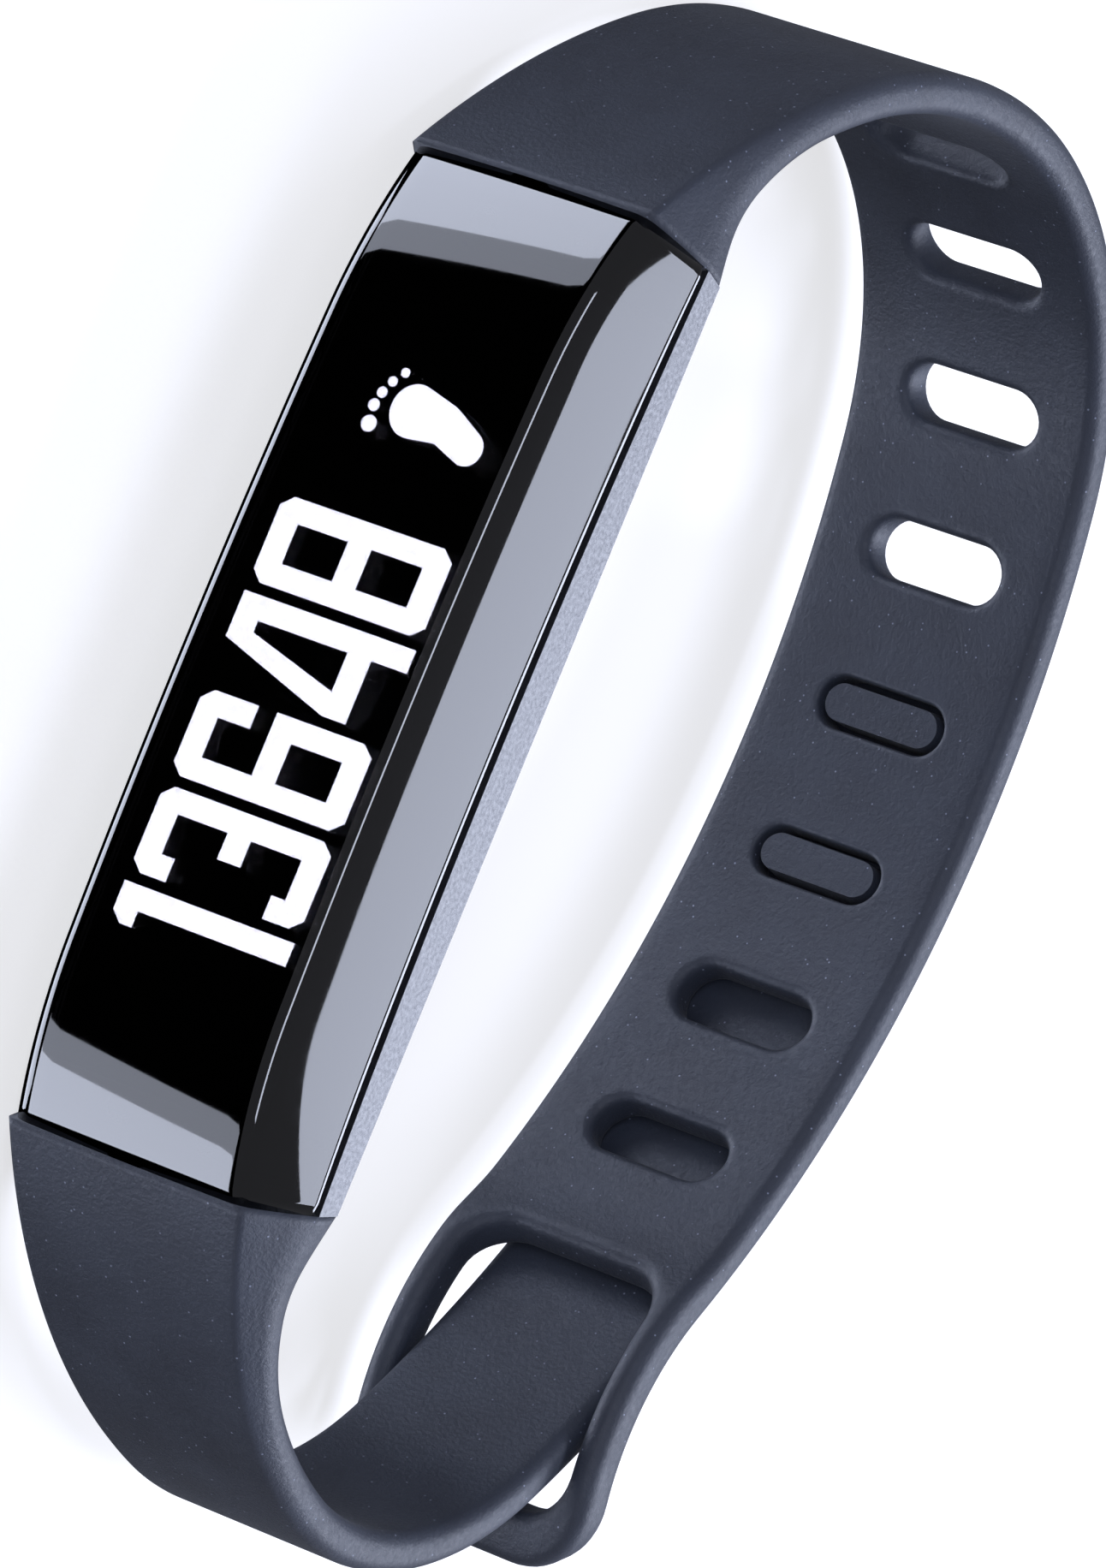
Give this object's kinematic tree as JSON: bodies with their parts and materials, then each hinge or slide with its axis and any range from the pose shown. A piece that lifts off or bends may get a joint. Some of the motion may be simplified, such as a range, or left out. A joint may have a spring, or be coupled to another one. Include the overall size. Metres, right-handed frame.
{
  "type": "fitness tracker band",
  "caption": "Slim fitness tracker on a soft band buckled into a closed ring, lying on its side, with a long crowned screen, a keeper loop and a tail that pegs into slots.",
  "frame": {"origin": "centre of the bounding box's bottom face, where the ring's lower edge lies on the table", "axes": "+Z across the band, upwards as the ring lies on its side; -Y out of the screen; +X from the slotted strap towards the pegged strap"},
  "size_m": [0.0709, 0.0488, 0.0158],
  "materials": {
    "cover_gloss": "glossy",
    "housing": "satin",
    "band": "matte",
    "seal": "matte",
    "digits": "matte",
    "panel": "glossy",
    "frame": "satin",
    "flex": "satin",
    "board": "satin",
    "chip": "satin",
    "steel": "satin",
    "gold": "polished",
    "foam": "matte",
    "cell": "satin",
    "ceramic": "matte",
    "weight": "satin",
    "tongue": "satin"
  },
  "bodies": {
    "module": {"top_cover": "cover_gloss", "bottom_cover": "housing", "cover_gasket": "seal", "case_screws": "steel", "display_readout": "digits", "oled_panel": "panel", "oled_frame": "frame", "oled_flex": "flex", "circuit_board": "board", "processor_chip": "chip", "radio_chip": "chip", "memory_chip": "chip", "motion_sensor": "chip", "clock_crystal": "steel", "bluetooth_antenna": "ceramic", "battery": "cell", "battery_foam": "foam", "battery_connector": "ceramic", "charging_contacts": "gold", "contact_insulator": "tongue", "motor_case": "steel", "motor_lid": "steel", "motor_shaft": "steel", "slot_strap_tongue": "tongue", "peg_strap_tongue": "tongue", "strap_pins": "steel", "slot_strap": "band", "peg_strap": "band"},
    "motor_rotor": {"motor_rotor": "weight"},
    "tail_1": {"tail_link_1": "band"},
    "tail_2": {"tail_link_2": "band"},
    "tail_3": {"tail_end": "band", "peg_plate": "tongue"}
  },
  "joints": [
    {"name": "motor_rotor_spin", "type": "hinge", "parent": "module", "child": "motor_rotor", "pos_m": [0.01345, -0.01842, 0.0079], "axis": [0, 1, 0], "continuous": true},
    {"name": "tail_flex_1", "type": "hinge", "parent": "module", "child": "tail_1", "pos_m": [0.01976, 0.01737, 0.0079], "axis": [0, 0, -1], "range_deg": [0, 12], "stiffness_Nm_per_rad": 0.002},
    {"name": "tail_flex_2", "type": "hinge", "parent": "tail_1", "child": "tail_2", "pos_m": [0.01448, 0.01995, 0.0079], "axis": [0, 0, -1], "range_deg": [0, 12], "stiffness_Nm_per_rad": 0.002},
    {"name": "tail_flex_3", "type": "hinge", "parent": "tail_2", "child": "tail_3", "pos_m": [0.00895, 0.02196, 0.0079], "axis": [0, 0, -1], "range_deg": [0, 12], "stiffness_Nm_per_rad": 0.002}
  ],
  "couplings": [
    {"joint": "tail_flex_2", "follows": "tail_flex_1", "ratio": 1},
    {"joint": "tail_flex_3", "follows": "tail_flex_1", "ratio": 1}
  ]
}
